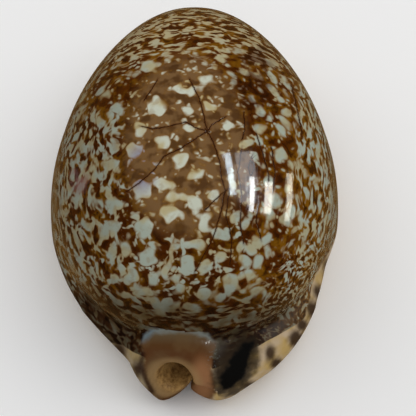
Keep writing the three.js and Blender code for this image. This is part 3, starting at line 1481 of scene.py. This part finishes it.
@dataclass(frozen=True)
class Enamel:
    """The shell's own glossy enamel: its colours, and how they are laid over each other."""

    pale: Triple = colour_of("A6B0A2")
    pale_warm: Triple = colour_of("ABA788")
    lavender: Triple = colour_of("85819A")
    ochre: Triple = colour_of("84580A")
    brown: Triple = colour_of("502400")
    dark: Triple = colour_of("280A00")
    tan: Triple = colour_of("B5A67E")
    veil: Triple = colour_of("7E5F3C")
    veil_thread: Triple = colour_of("472A10")
    veil_spot: Triple = colour_of("CCD0BE")
    veil_spot_warm: Triple = colour_of("BBAE84")
    # The colour that the painted shade of the back is multiplied by.
    shade: Triple = colour_of("74604A")
    smudge: Triple = colour_of("A58C86")
    blush: Triple = colour_of("7E5A5A")
    rim: Triple = colour_of("93733C")
    cream: Triple = colour_of("BB9C5E")
    # The cream edge's colour in painted shade, used on the left side.
    shaded_cream: Triple = colour_of("7C7158")
    spot: Triple = colour_of("3A2616")
    # Painted highlight: the bluish sheen along the arch's upper edge, bluer on the left.
    arch_sheen: Triple = colour_of("868F8C")
    arch_sheen_blue: Triple = colour_of("6F8793")
    peach: Triple = colour_of("936540")
    lobe: Triple = colour_of("6B5232")
    # Painted highlight: the lighter tan of the lit rim round the canal mouth.
    canal_rim_highlight: Triple = colour_of("A08052")
    mouth: Triple = colour_of("B08A52")
    mouth_shade: Triple = colour_of("6E4E28")
    blotch_edge: Triple = colour_of("2C2012")
    blotch: Triple = colour_of("040302")
    base: Triple = colour_of("BFA98C")
    teeth: Triple = colour_of("6A3216")
    inside: Triple = colour_of("9C93A0")
    crack: Triple = colour_of("2C1508")
    callus_stops: tuple[tuple[float, Triple], ...] = (
        (0.0, colour_of("6F6A58")),
        (0.18, colour_of("675439")),
        (0.42, colour_of("5A3A1B")),
        (0.70, colour_of("5E3714")),
        (1.0, colour_of("5F3D1C")),
    )
    gloss: Gloss = Gloss(ior=1.25, coat_roughness=0.05)
    coat: float = 0.8
    bump: float = 0.35
    net: Net = Net()
    wear: Wear = Wear()
    relief: Relief = Relief()
    edge_sizes: EdgeSizes = EdgeSizes()
    crack_sizes: CrackSizes = CrackSizes()

    def material(self, cracks: int) -> bpy.types.Material:
        """Makes the enamel's material.

        Args:
            cracks: How many cracks the mesh carries values for.

        Returns:
            The material.
        """
        g = Graph("enamel")
        metres = g.node("ShaderNodeTexCoord", {}, {}, "Object")
        place = g.stretch(metres, (1 / MM, 1 / MM, 1 / MM))
        colour, pale_share = self.pattern(g, place)
        colour = self.edges(g, place, colour)
        colour = self.posterior(g, place, colour)
        colour = self.base_and_inside(g, place, colour)
        colour, depth = self.cracked(g, place, colour, cracks)
        dull = self.wear.dullness(g)
        rough = 0.07 + 0.02 * pale_share + 0.05 * g.noise(place, 4.0)
        rough = rough + 0.4 * dull + 0.5 * g.attribute("blotch").ease(2.4, 0.6)
        height = self.relief.height(g, place, depth)
        return g.finish(colour, self.gloss, rough, self.coat - self.coat * dull, height, self.bump)

    def pattern(self, g: Graph, place: Value) -> tuple[Value, Value]:
        """The brown net over the pale ground of the back, darkened by painted shade towards the posterior
        end and the left.

        Args:
            g: The material's nodes.
            place: The place, in millimetres.

        Returns:
            The colour, and how pale it is from 0 to 1.
        """
        pale = self.net.paleness(g, place)
        mask = pale.ease(-0.055, 0.055)
        colour = g.mix(mask, self.threads(g, place, pale), self.ground(g, place, pale))
        # Painted shade: darkens the back towards the posterior end, the left and the dome's foot above the
        # blotch.
        painted_shade = g.attribute("painted_shade") * (0.7 + 0.6 * g.noise(place, 2.5))
        colour = g.mix(painted_shade, colour, self.shade, Mixing.DARKEN)
        cloudy = g.clouds(place, 2.4, (0.38, 0.6), 3.0)
        colour = g.mix(g.attribute("smudge") * cloudy, colour, self.smudge, Mixing.DARKEN)
        return g.mix(g.attribute("blush") * cloudy, colour, self.blush), mask

    def ground(self, g: Graph, place: Value, pale: Value) -> Value:
        """The colour of the pale ground.

        Args:
            g: The material's nodes.
            place: The place, in millimetres.
            pale: How far inside the pale ground the place is.

        Returns:
            The colour.
        """
        tone = g.noise(place, 2.8, 1.0)
        ground = g.mix(tone.ease(0.42, 0.62), self.pale, self.pale_warm)
        ground = g.mix(g.attribute("far") * 0.75, ground, self.tan)
        spot = g.mix(tone.ease(0.45, 0.65), self.veil_spot, self.veil_spot_warm)
        ground = g.mix(g.attribute("veil") * 0.9, ground, spot)
        ground = g.mix(g.attribute("lavender") * 0.8, ground, self.lavender)
        ground = g.mix(g.clouds(place, 1.3, (0.5, 0.72)) * 0.3, ground, self.ochre)
        return g.mix(pale.ease(0.15, 0.0) * 0.6, ground, self.ochre)

    def threads(self, g: Graph, place: Value, pale: Value) -> Value:
        """The colour of the net's own threads, with the milky brown area among them.

        Args:
            g: The material's nodes.
            place: The place, in millimetres.
            pale: How far inside the pale ground the place is.

        Returns:
            The colour.
        """
        net = g.mix(g.clouds(place, 2.0, (0.44, 0.62)) * 0.7, self.brown, self.ochre)
        net = g.mix(g.attribute("side") * 0.45, net, self.ochre)
        net = g.mix(pale.ease(-0.06, -0.30) * 0.85, net, self.dark)
        net = g.mix(g.attribute("placed") * 0.35, net, self.dark)
        milk = g.mix(g.clouds(place, 2.2, (0.44, 0.62)) * 0.75, self.veil, self.veil_thread)
        milk = g.mix(pale.ease(-0.12, -0.01) * 0.5, milk, self.ochre)
        return g.mix(g.attribute("veil") * 0.85, net, milk)

    def edges(self, g: Graph, place: Value, colour: Value) -> Value:
        """The golden rim of the pattern and the cream edge with its soft dark spots, the cream darkened by
        painted shade on the left side.

        Args:
            g: The material's nodes.
            place: The place, in millimetres.
            colour: The colour of the back.

        Returns:
            The colour with the edges over it.
        """
        sizes = self.edge_sizes
        height = g.node("ShaderNodeSeparateXYZ", {}, {0: place}, "Z")
        golden = sizes.golden + sizes.golden_far * g.attribute("far")
        golden = golden - sizes.golden_low * g.attribute("low")
        colour = g.mix(height.ease(*sizes.golden_heights) * golden, colour, self.rim)
        waves = g.waver(place, sizes.wave_size, sizes.wave_reach, 1.0) * g.attribute("unseen")
        border = g.attribute("border") + g.waver(place, sizes.waver_size, sizes.waver_reach) + waves
        cream = g.mix(g.clouds(place, 3.0, (0.35, 0.7)), self.cream, self.base)
        # Painted shade: the cream edge is darker on the left side, away from the light.
        cream = g.mix(g.attribute("callus_left") * 0.6, cream, self.shaded_cream)
        cream = g.mix(self.edge_spots(g, place) * 0.95, cream, self.spot)
        return g.mix(border.ease(*sizes.fade), colour, cream)

    def edge_spots(self, g: Graph, place: Value) -> Value:
        """The soft dark spots of the cream edge: drawn ones where they are seen, loose ones elsewhere.

        Args:
            g: The material's nodes.
            place: The place, in millimetres.

        Returns:
            1 in a spot, 0 between them.
        """
        sizes = self.edge_sizes
        points = g.cells(g.shake(place, 2.0, 0.5), sizes.loose_spot_pitch, sizes.loose_spot_evenness)
        loose = points.ease(*sizes.loose_spot) * g.attribute("unseen")
        waver = g.waver(place, sizes.spot_waver_size, sizes.spot_waver_reach)
        drawn = g.attribute("margin_spots") + waver - sizes.spot_growth
        return drawn.ease(*sizes.spot_fade).most(loose)

    def posterior(self, g: Graph, place: Value, colour: Value) -> Value:
        """The arch of callus, the mouth of the canal and the black blotch, with painted highlights on the
        arch's upper edge and round the canal mouth, and a painted shadow line beside the left lobe.

        Args:
            g: The material's nodes.
            place: The place, in millimetres.
            colour: The colour so far.

        Returns:
            The colour with the posterior end over it.
        """
        skin = g.ramp(g.attribute("callus_down"), self.callus_stops)
        skin = g.mix(g.clouds(place, 3.0, (0.42, 0.66)) * 0.45, skin, self.lobe)
        skin = g.mix(g.attribute("right_leg"), skin, self.peach)
        skin = g.mix(g.attribute("left_lobe"), skin, self.lobe)
        # Painted highlight: the lit rim round the mouth of the canal.
        skin = g.mix(g.attribute("canal_rim_highlight") * 0.6, skin, self.canal_rim_highlight)
        rough_edge = g.attribute("callus") + g.waver(place, 1.0, 0.9)
        # Painted highlight: a bluish sheen along the upper edge of the arch, bluer on its left side.
        upper = g.attribute("callus_down").ease(0.45, 0.2)
        painted_sheen = g.mix(g.attribute("callus_left"), self.arch_sheen, self.arch_sheen_blue)
        skin = g.mix(rough_edge.ease(-1.4, -0.2) * upper * 0.8, skin, painted_sheen)
        colour = g.mix(rough_edge.ease(0.35, -0.45), colour, skin)
        # Painted shadow: a dark line in the crease beside the left lobe.
        colour = g.mix(g.attribute("lobe_shadow") * 0.8, colour, self.dark)
        spread = g.attribute("blotch") + g.waver(place, 1.8, 2.4)
        colour = g.mix(g.attribute("beside") * 0.9, colour, self.blotch_edge)
        colour = g.mix(spread.ease(1.8, 0.2) * 0.9, colour, self.blotch_edge)
        colour = g.mix(spread.ease(0.3, -0.8), colour, self.blotch)
        # Painted glints: fine pale specks in the sheen colour on the right of the arch.
        sparkle = g.clouds(place, 0.4, (0.55, 0.68)) * g.attribute("sparkle")
        colour = g.mix(sparkle * 0.3, colour, self.arch_sheen)
        mottle = g.clouds(place, 1.1, (0.35, 0.7), 4.0, 0.7)
        return g.mix(g.attribute("mouth"), colour, g.mix(mottle, self.mouth, self.mouth_shade))

    def base_and_inside(self, g: Graph, place: Value, colour: Value) -> Value:
        """The cream base, the teeth and the hollow.

        Args:
            g: The material's nodes.
            place: The place, in millimetres.
            colour: The colour so far.

        Returns:
            The colour with those over it.
        """
        base = g.mix(g.clouds(place, 7.0, (0.4, 0.7)), self.base, self.cream)
        colour = g.mix(g.attribute("base"), colour, base)
        worn = g.mix(0.5, self.teeth, self.cream)
        teeth = g.mix(g.clouds(place, 2.0, (0.3, 0.7)), self.teeth, worn)
        colour = g.mix(g.attribute("teeth"), colour, teeth)
        return g.mix(g.attribute("inside"), colour, self.inside)

    def cracked(self, g: Graph, place: Value, colour: Value, cracks: int) -> tuple[Value, Value]:
        """The fine cracks in the enamel.

        Args:
            g: The material's nodes.
            place: The place, in millimetres.
            colour: The colour so far.
            cracks: How many cracks there are.

        Returns:
            The colour with the cracks over it, and how deep they are from 0 to 1.
        """
        sizes = self.crack_sizes
        waver = g.waver(place, sizes.waver_size, sizes.waver_reach, rough=0.6)
        lines = []
        for i in range(cracks):
            across = abs(g.attribute(f"crack_{i}") + waver)
            lines.append(across.ease(*sizes.half_width) * g.attribute(f"crack_{i}_on"))
        depth = lines[0]
        for line in lines[1:]:
            depth = depth.most(line)
        stained = g.mix(depth * sizes.stain, colour, self.brown)
        deep = depth.ease(*sizes.core)
        return g.mix(deep * sizes.core_strength, stained, self.crack), deep


@dataclass(frozen=True)
class Skin:
    """Where each vertex of the mesh lies: in millimetres, and in pixels of the drawing view."""

    x: Array
    y: Array
    z: Array
    facing_up: Array
    u: Array
    v: Array
    outer: Array
    seen: Array


@dataclass
class CowrieShell:
    """The shell itself: one piece, grown as one."""

    form: ShellForm = field(default_factory=ShellForm)
    mesher: Mesher = field(default_factory=Mesher)
    marks: Marks = field(default_factory=Marks)
    zones: Zones = field(default_factory=Zones)
    posterior: PosteriorZones = field(default_factory=PosteriorZones)
    enamel: Enamel = field(default_factory=Enamel)
    outer_within: Span = (0.35, 0.1)
    seen_facing: Span = (-0.05, 0.15)
    marked_where_seen: float = 0.1
    side_border: Span = (10.0, 5.0)
    side_start: Span = (-26.0, -16.0)
    far_start: Span = (6.0, 20.0)
    base_facing: Span = (-0.75, -0.95)
    tooth_power: float = 0.8
    hollow_within: Span = (0.5, 0.1)
    crack_end: Span = (1.2, 0.6)

    def build(self) -> bpy.types.Object:
        """Builds the shell's mesh and dresses it.

        Returns:
            The finished object.
        """
        vertices, quads, normals = self.mesher.build(self.form.distance)
        mesh = bpy.data.meshes.new("cowrie_shell")
        mesh.from_pydata((vertices * MM).tolist(), [], quads.tolist())
        mesh.update()
        mesh.normals_split_custom_set_from_vertices(normals.tolist())
        for name, values in self.values(vertices, normals).items():
            layer = mesh.attributes.new(name, "FLOAT", "POINT")
            layer.data.foreach_set("value", np.asarray(values, np.float32))
        mesh.materials.append(self.enamel.material(len(self.marks.cracks)))
        shell = bpy.data.objects.new("cowrie_shell", mesh)
        bpy.context.scene.collection.objects.link(shell)
        return shell

    def values(self, vertices: Array, normals: Array) -> dict[str, Array]:
        """What the material reads at each vertex.

        Args:
            vertices: The vertices, in millimetres.
            normals: Their outward normals.

        Returns:
            One array of values for each name.
        """
        skin = self.skin(vertices, normals)
        found = self.back_values(skin)
        found.update(self.edge_values(skin))
        found.update(self.posterior_values(skin))
        found.update(self.base_values(skin))
        found.update(self.crack_values(skin))
        return found

    def skin(self, vertices: Array, normals: Array) -> Skin:
        """Places the vertices in the drawing view and finds which of them are outside and seen.

        Args:
            vertices: The vertices, in millimetres.
            normals: Their outward normals.

        Returns:
            The placed vertices.
        """
        x, y, z = vertices.T
        view = self.marks.view
        u, v = view.place(x, y, z)
        outer = ease(*self.outer_within, np.abs(self.form.outside(x, y, z)))
        seen = outer * ease(*self.seen_facing, normals @ view.back())
        return Skin(x, y, z, normals[:, 2], u, v, outer, seen)

    def border(self, skin: Skin) -> Array:
        """How far up from the cream edge each vertex lies."""
        margin = self.form.margin.distance(skin.x, skin.y, skin.z)
        return margin - self.form.dome.distance(skin.x, skin.y, skin.z)

    def back_values(self, skin: Skin) -> dict[str, Array]:
        """Where each kind of net, tint and spot lies on the back, and where painted shade darkens it.

        Args:
            skin: The placed vertices.

        Returns:
            One array of values for each name.
        """
        zones, u, v, seen = self.zones, skin.u, skin.v, skin.seen
        rim = ease(*self.side_border, self.border(skin)) * ease(*self.side_start, skin.y)
        right = ease(*zones.right_across, u) * ease(*zones.right_down, v)
        spots = self.marks.ovals(u, v, self.marks.veil_spots)
        return {
            "veil_spots": np.where(seen > self.marked_where_seen, spots, NOWHERE),
            "veil": seen * zones.veil(u, v),
            "placed": seen * zones.placed_patch.on(u, v) * ease(*zones.placed_across, u),
            "side": np.maximum(rim, right),
            "far": ease(*self.far_start, skin.y),
            "mesh": seen * zones.mesh(u, v),
            "left": ease(*zones.left_across, u) * ease(*zones.left_down, v),
            "low": seen * ease(*zones.low_down, v) * ease(*zones.low_across, u),
            # painted shade towards the posterior end and the left
            "painted_shade": seen * zones.painted_shade(u, v),
            "lavender": seen * zones.lavender.on(u, v),
            "smudge": seen * zones.smudge.on(u, v),
            "blush": seen * zones.blush.on(u, v) * zones.blush_strength,
        }

    def edge_values(self, skin: Skin) -> dict[str, Array]:
        """Where the cream edge and its spots lie.

        Args:
            skin: The placed vertices.

        Returns:
            One array of values for each name.
        """
        border = self.border(skin)
        spots = self.marks.ovals(skin.u, skin.v, self.marks.margin_spots)
        return {
            "foot": border,
            "border": border + skin.seen * self.zones.feet(skin.u, skin.v),
            "margin_spots": np.where(skin.seen > self.marked_where_seen, spots, NOWHERE),
            "unseen": 1 - skin.seen,
        }

    def posterior_values(self, skin: Skin) -> dict[str, Array]:
        """Where the arch of callus, the mouth of the canal and the blotch lie, with the painted highlight
        round the canal mouth and the painted shadow line beside the left lobe.

        Args:
            skin: The placed vertices.

        Returns:
            One array of values for each name.
        """
        zones, marks, u, v, seen = self.posterior, self.marks, skin.u, skin.v, skin.seen
        canal = self.form.canal.distance(skin.x, skin.y, skin.z)
        depth = -self.form.outside(skin.x, skin.y, skin.z)
        near = (skin.y < zones.arch_end_mm) & (skin.z < zones.arch_top_mm)
        callus = np.where(near, marks.area(u, v, marks.callus), NOWHERE)
        blotched = (seen > self.marked_where_seen) & (v > zones.blotch_first_row)
        mouth = ease(*zones.mouth_mm, canal) * ease(*zones.mouth_depth_mm, depth)
        return {
            "callus": callus,
            "beside": seen * zones.beside.on(u, v) * ease(*zones.beside_from_mm, callus),
            "callus_down": np.clip((v - zones.arch_first_row) / zones.arch_rows, 0, 1),
            "callus_left": ease(*zones.arch_left, u),
            "right_leg": zones.right_leg.on(u, v),
            "left_lobe": zones.left_lobe.on(u, v),
            # painted shadow line beside the left lobe
            "lobe_shadow": seen * ease(*zones.lobe_shadow_mm, marks.line(u, v, marks.lobe_shadow)[1]),
            "blotch": np.where(blotched, marks.area(u, v, marks.blotch), NOWHERE),
            "sparkle": seen * zones.sparkle.on(u, v),
            # painted highlight round the canal mouth
            "canal_rim_highlight": ease(*zones.rim_highlight_mm, canal) * ease(*zones.rim_highlight_end_mm, skin.y),
            "mouth": mouth * ease(*zones.mouth_end_mm, skin.y),
        }

    def base_values(self, skin: Skin) -> dict[str, Array]:
        """Where the flat base, the grooves between the teeth and the hollow lie.

        Args:
            skin: The placed vertices.

        Returns:
            One array of values for each name.
        """
        slot = self.form.slot
        grooves = slot.grooves(skin.x, skin.y, skin.z)
        hollow = np.abs(self.form.hollow.distance(skin.x, skin.y, skin.z))
        return {
            "base": ease(*self.base_facing, skin.facing_up) * skin.outer,
            "teeth": np.clip(grooves / slot.groove, 0, 1) ** self.tooth_power,
            "inside": ease(*self.hollow_within, hollow) * (1 - skin.outer),
        }

    def crack_values(self, skin: Skin) -> dict[str, Array]:
        """How far each vertex is from each crack, and where that crack shows.

        Args:
            skin: The placed vertices.

        Returns:
            Two arrays of values for each crack.
        """
        found = {}
        for i, crack in enumerate(self.marks.cracks):
            signed, plain = self.marks.line(skin.u, skin.v, crack)
            found[f"crack_{i}"] = signed
            found[f"crack_{i}_on"] = skin.seen * ease(*self.crack_end, plain)
        return found


class Use(Enum):
    """What a soft light is for."""

    REFLECTION = "seen mirrored in the gloss, and lights nothing"
    LIGHT = "lights the surfaces, and is not seen mirrored"


@dataclass(frozen=True)
class SoftBox:
    """One flat soft light, placed round the shell by its bearing from +Y towards +X and its elevation."""

    name: str
    bearing: float
    elevation: float
    away: float
    size: Pixel
    power: float
    colour: Triple = (1.0, 1.0, 1.0)
    aim: Triple = (0.0, 0.0, 0.02)
    roll: float = 0.0
    use: Use = Use.REFLECTION

    def build(self) -> bpy.types.Object:
        """Makes the light and points it at its aim.

        Returns:
            The light's object.
        """
        data = bpy.data.lights.new(self.name, "AREA")
        data.shape = "RECTANGLE"
        data.size, data.size_y = self.size
        data.energy = self.power
        data.color = self.colour
        lamp = bpy.data.objects.new(self.name, data)
        lamp.visible_glossy = self.use is Use.REFLECTION
        lamp.visible_diffuse = self.use is Use.LIGHT
        turn, rise = math.radians(self.bearing), math.radians(self.elevation)
        towards = Vector((math.sin(turn) * math.cos(rise), math.cos(turn) * math.cos(rise), math.sin(rise)))
        lamp.location = Vector(self.aim) + self.away * towards
        lamp.rotation_mode = "QUATERNION"
        spin = Quaternion(towards, math.radians(self.roll))
        lamp.rotation_quaternion = spin @ (-towards).to_track_quat("-Z", "Y")
        bpy.context.scene.collection.objects.link(lamp)
        return lamp


@dataclass(frozen=True)
class Studio:
    """The floor, the light and the camera."""

    paint: Triple = colour_of("FAFAFA")
    gloss: Gloss = Gloss(ior=1.3)
    paint_roughness: float = 0.9
    grain: float = 0.01
    floor_half: float = 1.5
    view: DrawingView = DrawingView()
    sky: float = 0.54
    sky_seen_in_gloss: Triple = (0.11, 0.060, 0.020)
    boxes: tuple[SoftBox, ...] = (
        SoftBox("window_top", 77, 67, 0.45, (0.20, 0.034), 0.34, (0.70, 0.88, 1.0)),
        SoftBox("window_haze", 82, 55, 0.45, (0.24, 0.110), 0.32, (0.90, 0.96, 1.0), roll=4),
        SoftBox("window_upper", 97, 50, 0.45, (0.17, 0.030), 0.34, (0.94, 0.99, 1.0), roll=14),
        SoftBox("window_middle", 94, 36, 0.45, (0.15, 0.055), 0.40, (1.0, 0.98, 0.90), roll=14),
        SoftBox("window_low", 87, 16, 0.45, (0.20, 0.044), 0.29, (1.0, 0.97, 0.80), roll=13),
        SoftBox("key", 70, 58, 0.80, (0.80, 0.80), 2.10, use=Use.LIGHT),
        SoftBox("fill", -60, 50, 0.80, (0.80, 0.80), 1.40, use=Use.LIGHT),
    )

    def build(self) -> bpy.types.Object:
        """Builds the whole studio.

        Returns:
            The floor.
        """
        self.world()
        self.camera()
        for box in self.boxes:
            box.build()
        return self.floor()

    def world(self) -> None:
        """Makes the even light from all round."""
        world = bpy.data.worlds.new("soft_sky")
        world.use_nodes = True
        tree = world.node_tree
        background = tree.nodes["Background"]
        path = tree.nodes.new("ShaderNodeLightPath")
        tint = tree.nodes.new("ShaderNodeMix")
        tint.data_type = "RGBA"
        tint.inputs[6].default_value = (self.sky, self.sky, self.sky, 1.0)
        tint.inputs[7].default_value = (*self.sky_seen_in_gloss, 1.0)
        tree.links.new(path.outputs["Is Glossy Ray"], tint.inputs[0])
        tree.links.new(tint.outputs[2], background.inputs["Color"])
        bpy.context.scene.world = world
        bpy.context.scene.view_settings.view_transform = "Standard"

    def camera(self) -> None:
        """Makes the camera at the drawing view's place."""
        view = self.view
        data = bpy.data.cameras.new("camera")
        data.lens = data.sensor_width * view.scale * view.away_mm / view.side
        data.shift_x, data.shift_y = view.shift
        data.clip_start = 0.01
        camera = bpy.data.objects.new("camera", data)
        back = Vector(view.back())
        camera.location = Vector(view.aim) * MM + back * view.away_mm * MM
        camera.rotation_mode = "QUATERNION"
        camera.rotation_quaternion = (-back).to_track_quat("-Z", "Y")
        bpy.context.scene.collection.objects.link(camera)
        bpy.context.scene.camera = camera

    def floor(self) -> bpy.types.Object:
        """Makes the floor.

        Returns:
            The floor's object.
        """
        h = self.floor_half
        mesh = bpy.data.meshes.new("floor")
        mesh.from_pydata([(-h, -h, 0), (h, -h, 0), (h, h, 0), (-h, h, 0)], [], [(0, 1, 2, 3)])
        g = Graph("floor_paint")
        metres = g.node("ShaderNodeTexCoord", {}, {}, "Object")
        grain = g.noise(metres, self.grain)
        mesh.materials.append(g.finish(self.paint, self.gloss, self.paint_roughness, 0.0, grain, 0.02))
        floor = bpy.data.objects.new("floor", mesh)
        floor.visible_glossy = False
        bpy.context.scene.collection.objects.link(floor)
        return floor


def main() -> None:
    """Builds the shell and the studio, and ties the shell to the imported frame."""
    logging.basicConfig(level=logging.INFO, format="%(message)s")
    floor = Studio().build()
    LOG.info("studio: floor and camera ready")
    shell = CowrieShell().build()
    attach(shell, "root")
    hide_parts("shell")
    LOG.info("shell: %d vertices, %d faces", len(shell.data.vertices), len(shell.data.polygons))


if __name__ == "__main__":
    main()
